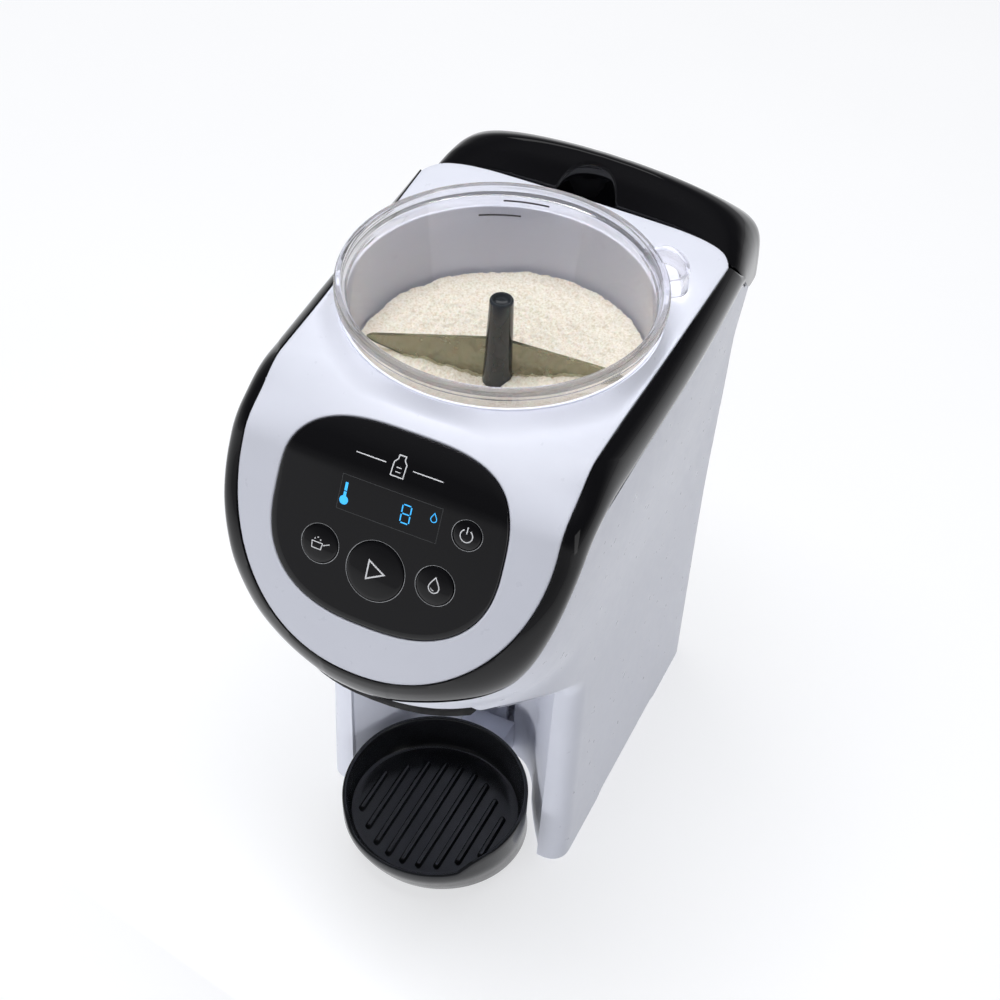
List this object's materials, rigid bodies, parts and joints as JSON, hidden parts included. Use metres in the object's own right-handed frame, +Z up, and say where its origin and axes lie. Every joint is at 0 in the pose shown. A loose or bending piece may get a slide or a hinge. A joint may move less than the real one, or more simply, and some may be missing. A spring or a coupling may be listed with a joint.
{
  "type": "formula dispenser",
  "caption": "Bottle-feed mixing machine: powder container with stirrer over a sloping control face, bottle bay with funnel drawer and drip tray, and a lift-out water tank.",
  "frame": {"origin": "on the worktop, under the centre of the overall box", "axes": "+Z up, -Y towards the user, +X to the user's right"},
  "size_m": [0.174, 0.286, 0.337],
  "materials": {
    "white_plastic": "smooth, slightly bluish white",
    "gloss_black_plastic": "piano gloss",
    "satin_black_plastic": "fine satin",
    "clear_plastic": "clear, polished",
    "smoke_plastic": "dark smoke, translucent",
    "steel": "plain",
    "aluminium": "cast",
    "rubber": "matt",
    "silicone": "translucent matt",
    "grey_plastic": "satin",
    "circuit_board": "solder mask",
    "powder": "fine dry powder",
    "display_light": "lit segments"
  },
  "bodies": {
    "housing": {"body_shell": "white_plastic", "rear_panel": "white_plastic", "bay_wall": "white_plastic", "underside_cover": "white_plastic", "drawer_rail_right": "white_plastic", "drawer_rail_left": "white_plastic", "base_plate": "white_plastic", "rubber_foot_1": "rubber", "rubber_foot_2": "rubber", "rubber_foot_3": "rubber", "rubber_foot_4": "rubber", "base_screw_1": "steel", "base_screw_2": "steel", "base_screw_3": "steel", "base_screw_4": "steel", "fascia": "white_plastic", "trim_band": "gloss_black_plastic", "container_well": "white_plastic", "control_panel": "gloss_black_plastic", "display_module": "grey_plastic", "control_board": "circuit_board", "gearbox_plate": "steel", "gear_motor": "steel", "powder_chute": "grey_plastic", "tank_cradle": "white_plastic", "pump": "satin_black_plastic", "heater_block": "aluminium", "inlet_hose": "silicone", "pump_hose": "silicone", "outlet_hose": "silicone", "water_nozzle": "silicone", "main_board": "circuit_board", "power_inlet": "satin_black_plastic"},
    "start_button_body": {"start_button": "gloss_black_plastic"},
    "powder_button_body": {"powder_button": "gloss_black_plastic"},
    "volume_button_body": {"volume_button": "gloss_black_plastic"},
    "power_button_body": {"power_button": "gloss_black_plastic"},
    "container_base": {"container_seal": "silicone"},
    "container": {"powder_container": "clear_plastic", "leveling_plate": "clear_plastic"},
    "stirrer": {"agitator": "smoke_plastic", "powder_wheel": "grey_plastic"},
    "gear": {"drive_gear": "grey_plastic"},
    "pinion": {"motor_pinion": "steel"},
    "tank": {"water_tank": "smoke_plastic", "hinge_pin": "steel"},
    "lid": {"tank_lid": "gloss_black_plastic"},
    "valve": {"tank_valve": "silicone"},
    "drawer": {"funnel_drawer": "satin_black_plastic", "mixing_funnel": "clear_plastic"},
    "tray": {"drip_tray": "satin_black_plastic", "tray_bracket": "white_plastic"}
  },
  "joints": [
    {"name": "container_lift", "type": "slide", "parent": "housing", "child": "container_base", "axis": [0, 0, 1], "range_m": [0, 0.12]},
    {"name": "container_twist", "type": "hinge", "parent": "container_base", "child": "container", "pos_m": [0, 0, 0.262], "axis": [0, 0, 1], "range_deg": [0, 25]},
    {"name": "agitator_spin", "type": "hinge", "parent": "container", "child": "stirrer", "pos_m": [0, 0, 0.262], "axis": [0, 0, 1], "continuous": true},
    {"name": "drive_gear_spin", "type": "hinge", "parent": "housing", "child": "gear", "pos_m": [0, 0, 0.25], "axis": [0, 0, 1], "continuous": true},
    {"name": "pinion_spin", "type": "hinge", "parent": "housing", "child": "pinion", "pos_m": [0, 0.0384, 0.25], "axis": [0, 0, 1], "continuous": true},
    {"name": "tank_lift", "type": "slide", "parent": "housing", "child": "tank", "axis": [0, 0, 1], "range_m": [0, 0.2]},
    {"name": "tank_lid_hinge", "type": "hinge", "parent": "tank", "child": "lid", "pos_m": [0, 0.1402, 0.281], "axis": [-1, 0, 0], "range_deg": [0, 100]},
    {"name": "tank_valve_slide", "type": "slide", "parent": "tank", "child": "valve", "axis": [0, 0, 1], "range_m": [0, 0.003], "stiffness_N_per_m": 150},
    {"name": "drawer_slide", "type": "slide", "parent": "housing", "child": "drawer", "axis": [0, -1, 0], "range_m": [0, 0.08]},
    {"name": "tray_height", "type": "slide", "parent": "housing", "child": "tray", "axis": [0, 0, 1], "range_m": [0, 0.065]},
    {"name": "start_press", "type": "slide", "parent": "housing", "child": "start_button_body", "axis": [0, 0.914, -0.4057], "range_m": [0, 0.001], "stiffness_N_per_m": 500},
    {"name": "powder_press", "type": "slide", "parent": "housing", "child": "powder_button_body", "axis": [0, 0.914, -0.4057], "range_m": [0, 0.001], "stiffness_N_per_m": 500},
    {"name": "volume_press", "type": "slide", "parent": "housing", "child": "volume_button_body", "axis": [0, 0.914, -0.4057], "range_m": [0, 0.001], "stiffness_N_per_m": 500},
    {"name": "power_press", "type": "slide", "parent": "housing", "child": "power_button_body", "axis": [0, 0.914, -0.4057], "range_m": [0, 0.001], "stiffness_N_per_m": 500}
  ],
  "couplings": [
    {"joint": "drive_gear_spin", "follows": "agitator_spin", "ratio": 1},
    {"joint": "pinion_spin", "follows": "agitator_spin", "ratio": -3}
  ]
}
